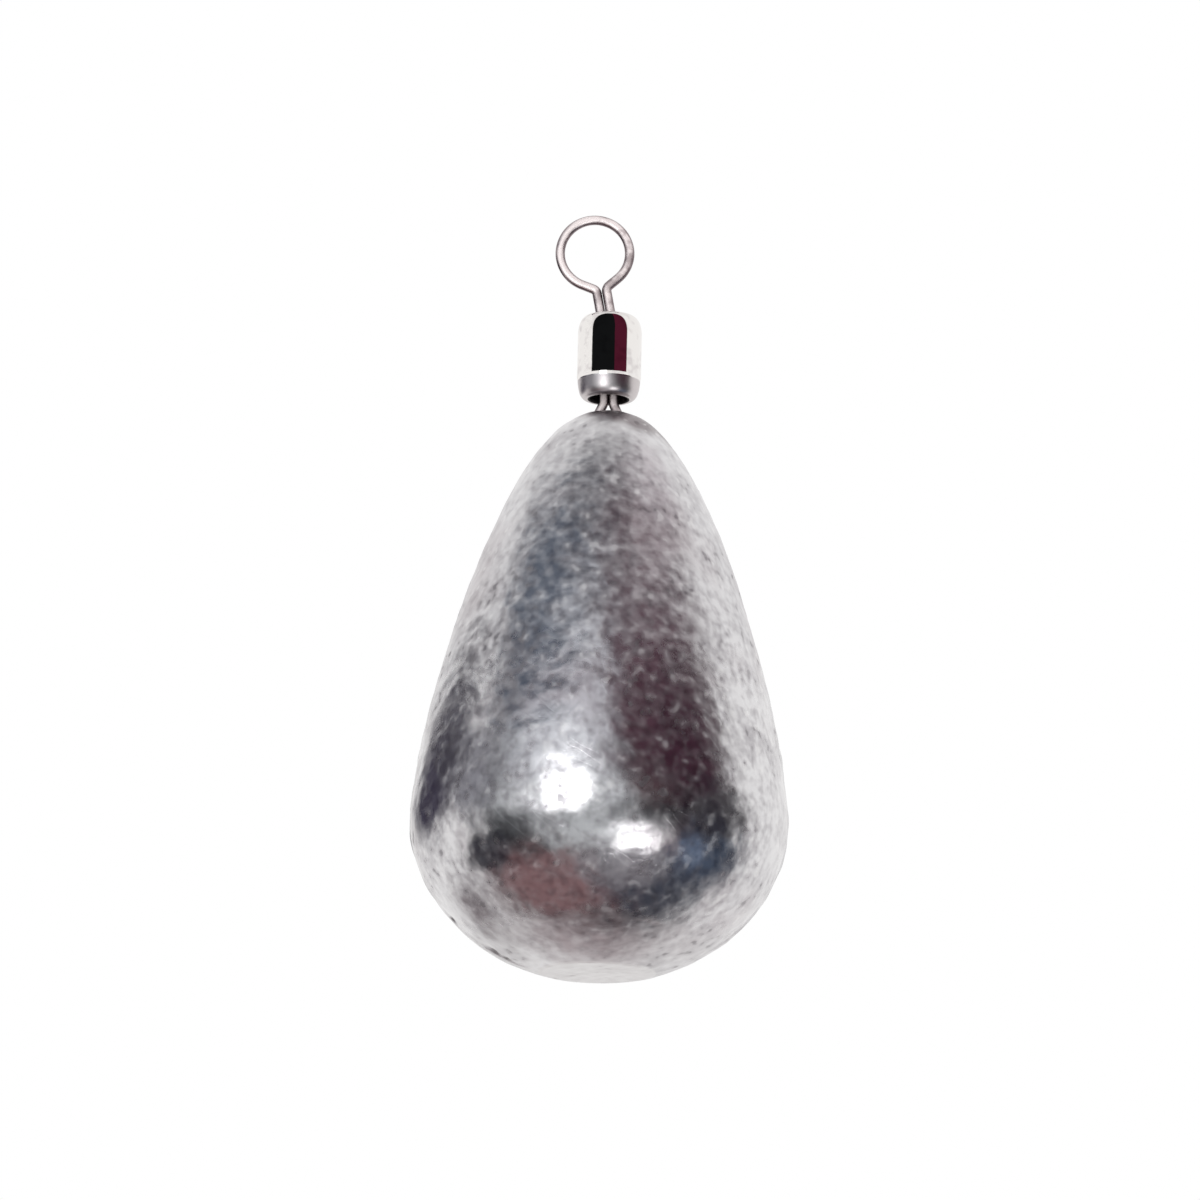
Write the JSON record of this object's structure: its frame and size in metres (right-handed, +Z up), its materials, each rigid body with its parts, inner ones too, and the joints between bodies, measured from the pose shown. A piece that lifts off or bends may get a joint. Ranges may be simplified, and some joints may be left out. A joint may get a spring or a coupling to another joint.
{
  "type": "fishing sinker",
  "caption": "Pear-shaped lead fishing sinker cast round one eye of a barrel swivel, with a wire loop at the top for the line and a flat base.",
  "frame": {"origin": "centre of the sprue flat that the lead stands on, under the swivel's axis", "axes": "+Z up along the swivel's axis towards the line eye; the loops of both eyes and the mould's parting seam lie in the XZ plane, and the line eye hangs over towards -X"},
  "size_m": [0.0176, 0.0174, 0.036],
  "materials": {
    "cast_lead": "bare cast lead, satin and mottled",
    "nickel_wire": "drawn wire, nickel plated",
    "nickel_barrel": "bright nickel plate"
  },
  "bodies": {
    "weight": {"lead_weight": "cast_lead", "lower_eye": "nickel_wire"},
    "barrel": {"swivel_barrel": "nickel_barrel"},
    "eye": {"upper_eye": "nickel_wire"}
  },
  "joints": [
    {"name": "barrel_spin", "type": "hinge", "parent": "weight", "child": "barrel", "pos_m": [0, 0, 0.02805], "axis": [0, 0, 1], "continuous": true},
    {"name": "eye_spin", "type": "hinge", "parent": "barrel", "child": "eye", "pos_m": [0, 0, 0.03015], "axis": [0, 0, 1], "continuous": true}
  ]
}
